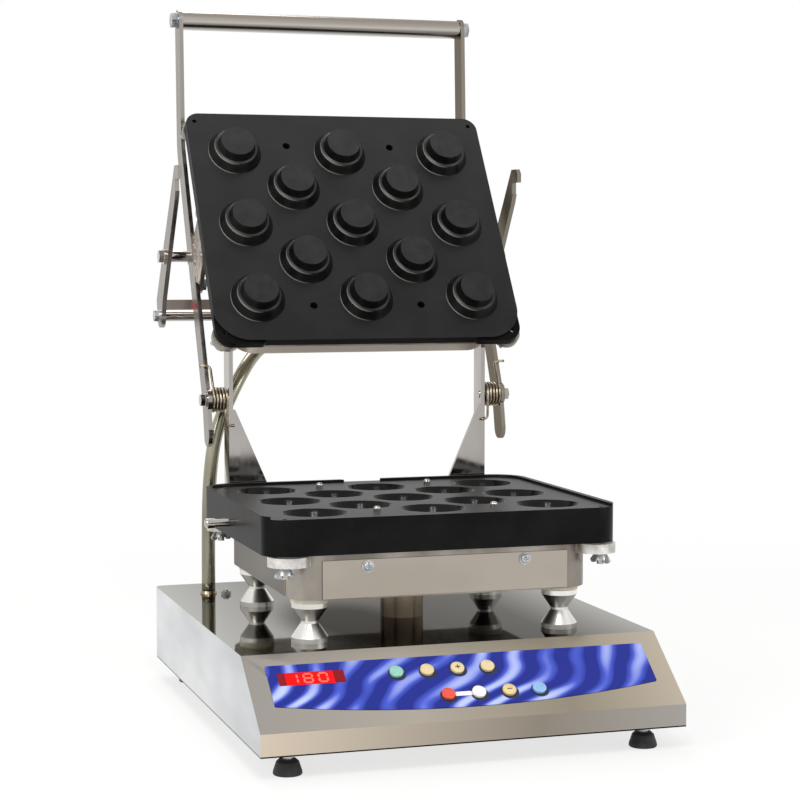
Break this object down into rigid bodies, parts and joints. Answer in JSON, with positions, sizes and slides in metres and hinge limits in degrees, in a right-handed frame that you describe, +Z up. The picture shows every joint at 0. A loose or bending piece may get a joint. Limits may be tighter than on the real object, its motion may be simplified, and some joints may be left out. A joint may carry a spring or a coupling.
{
  "type": "tartlet shell maker",
  "caption": "Countertop press for pastry shells: a hinged head with stamps swings over a mould plate with cavities, locked by a hook latch, on a steel base with a sloping panel.",
  "frame": {"origin": "middle of the whole machine's footprint on the floor, with the head open", "axes": "+X to the machine's right as seen from the panel side, +Y to the back, +Z up"},
  "size_m": [0.35, 0.4646, 0.626],
  "materials": {
    "mirror_steel": "polished",
    "satin_steel": "satin",
    "zinc": "zinc plated",
    "cast_aluminium": "rough cast",
    "turned_aluminium": "turned",
    "black_plate": "satin coated",
    "spring_steel": "oiled",
    "black_rubber": "matt",
    "cream_ceramic": "matt",
    "blue_film": "printed film",
    "dark_window": "clear, dark",
    "board_green": "matt",
    "black_plastic": "matt",
    "hose_sleeve": "smooth",
    "button_green": "domed",
    "button_cream": "domed",
    "button_red": "domed",
    "button_white": "domed",
    "button_blue": "domed"
  },
  "bodies": {
    "stand": {"base_housing": "mirror_steel", "base_floor": "satin_steel", "rubber_feet": "black_rubber", "foot_studs": "zinc", "control_overlay": "blue_film", "display_window": "dark_window", "control_board": "board_green", "mains_inlet": "black_plastic", "stand_bolts": "zinc", "base_spacers": "turned_aluminium", "insulating_washers": "cream_ceramic", "spacer_studs": "zinc", "centre_column": "satin_steel", "lower_casting": "cast_aluminium", "lower_covers": "satin_steel", "cover_screws": "zinc", "lower_mould_plate": "black_plate", "locating_pins": "satin_steel", "striker_pins": "zinc", "lower_corner_studs": "zinc", "hinge_bracket_left": "mirror_steel", "hinge_bracket_right": "mirror_steel", "hinge_pins": "zinc", "hinge_spring_left": "spring_steel", "hinge_spring_right": "spring_steel", "hose": "hose_sleeve", "hose_gland_base": "zinc"},
    "lid": {"side_bar_left": "mirror_steel", "side_bar_right": "mirror_steel", "bar_pads": "black_rubber", "grip_bar": "mirror_steel", "head_brackets": "satin_steel", "lid_bolts": "zinc", "latch_pivots": "mirror_steel", "upper_mould_plate": "black_plate", "upper_casting": "cast_aluminium", "upper_back_cover": "satin_steel", "upper_corner_studs": "zinc", "hose_gland_head": "zinc"},
    "latch": {"hook_left": "mirror_steel", "hook_right": "mirror_steel", "tie_rod": "mirror_steel", "tie_bolts": "zinc", "crossbar": "satin_steel"},
    "button_on": {"button_on": "button_green"},
    "button_temp": {"button_temp": "button_cream"},
    "button_plus": {"button_plus": "button_cream"},
    "button_set": {"button_set": "button_cream"},
    "button_off": {"button_off": "button_red"},
    "button_tick": {"button_tick": "button_white"},
    "button_minus": {"button_minus": "button_cream"},
    "button_start": {"button_start": "button_blue"},
    "wing_nut_lower_front_left": {"wing_nut_lower_front_left": "zinc"},
    "wing_nut_lower_front_right": {"wing_nut_lower_front_right": "zinc"},
    "wing_nut_lower_back_left": {"wing_nut_lower_back_left": "zinc"},
    "wing_nut_lower_back_right": {"wing_nut_lower_back_right": "zinc"},
    "wing_nut_upper_back_left": {"wing_nut_upper_back_left": "zinc"},
    "wing_nut_upper_back_right": {"wing_nut_upper_back_right": "zinc"},
    "wing_nut_upper_front_left": {"wing_nut_upper_front_left": "zinc"},
    "wing_nut_upper_front_right": {"wing_nut_upper_front_right": "zinc"}
  },
  "joints": [
    {"name": "lid_hinge", "type": "hinge", "parent": "stand", "child": "lid", "pos_m": [0, 0.1043, 0.265], "axis": [1, 0, 0], "range_deg": [0, 123.5], "stiffness_Nm_per_rad": 3, "deforming": ["hinge_spring_left", "hinge_spring_right", "hose"]},
    {"name": "latch_swing", "type": "hinge", "parent": "lid", "child": "latch", "pos_m": [0, 0.1773, 0.394], "axis": [1, 0, 0], "range_deg": [-20, 20.8]},
    {"name": "press_on", "type": "slide", "parent": "stand", "child": "button_on", "axis": [0, 0.6008, -0.7994], "range_m": [0, 0.0008], "stiffness_N_per_m": 400},
    {"name": "press_temp", "type": "slide", "parent": "stand", "child": "button_temp", "axis": [0, 0.6008, -0.7994], "range_m": [0, 0.0008], "stiffness_N_per_m": 400},
    {"name": "press_plus", "type": "slide", "parent": "stand", "child": "button_plus", "axis": [0, 0.6008, -0.7994], "range_m": [0, 0.0008], "stiffness_N_per_m": 400},
    {"name": "press_set", "type": "slide", "parent": "stand", "child": "button_set", "axis": [0, 0.6008, -0.7994], "range_m": [0, 0.0008], "stiffness_N_per_m": 400},
    {"name": "press_off", "type": "slide", "parent": "stand", "child": "button_off", "axis": [0, 0.6008, -0.7994], "range_m": [0, 0.0008], "stiffness_N_per_m": 400},
    {"name": "press_tick", "type": "slide", "parent": "stand", "child": "button_tick", "axis": [0, 0.6008, -0.7994], "range_m": [0, 0.0008], "stiffness_N_per_m": 400},
    {"name": "press_minus", "type": "slide", "parent": "stand", "child": "button_minus", "axis": [0, 0.6008, -0.7994], "range_m": [0, 0.0008], "stiffness_N_per_m": 400},
    {"name": "press_start", "type": "slide", "parent": "stand", "child": "button_start", "axis": [0, 0.6008, -0.7994], "range_m": [0, 0.0008], "stiffness_N_per_m": 400},
    {"name": "turn_lower_front_left", "type": "hinge", "parent": "stand", "child": "wing_nut_lower_front_left", "pos_m": [-0.1347, -0.1504, 0.146], "axis": [0, 0, 1], "continuous": true},
    {"name": "turn_lower_front_right", "type": "hinge", "parent": "stand", "child": "wing_nut_lower_front_right", "pos_m": [0.1347, -0.1504, 0.146], "axis": [0, 0, 1], "continuous": true},
    {"name": "turn_lower_back_left", "type": "hinge", "parent": "stand", "child": "wing_nut_lower_back_left", "pos_m": [-0.1347, 0.079, 0.146], "axis": [0, 0, 1], "continuous": true},
    {"name": "turn_lower_back_right", "type": "hinge", "parent": "stand", "child": "wing_nut_lower_back_right", "pos_m": [0.1347, 0.079, 0.146], "axis": [0, 0, 1], "continuous": true},
    {"name": "turn_upper_back_left", "type": "hinge", "parent": "lid", "child": "wing_nut_upper_back_left", "pos_m": [-0.1347, 0.07157, 0.31701], "axis": [0, -0.8339, 0.5519], "continuous": true},
    {"name": "turn_upper_back_right", "type": "hinge", "parent": "lid", "child": "wing_nut_upper_back_right", "pos_m": [0.1347, 0.07157, 0.31701], "axis": [0, -0.8339, 0.5519], "continuous": true},
    {"name": "turn_upper_front_left", "type": "hinge", "parent": "lid", "child": "wing_nut_upper_front_left", "pos_m": [-0.1347, 0.19818, 0.5083], "axis": [0, -0.8339, 0.5519], "continuous": true},
    {"name": "turn_upper_front_right", "type": "hinge", "parent": "lid", "child": "wing_nut_upper_front_right", "pos_m": [0.1347, 0.19818, 0.5083], "axis": [0, -0.8339, 0.5519], "continuous": true}
  ]
}
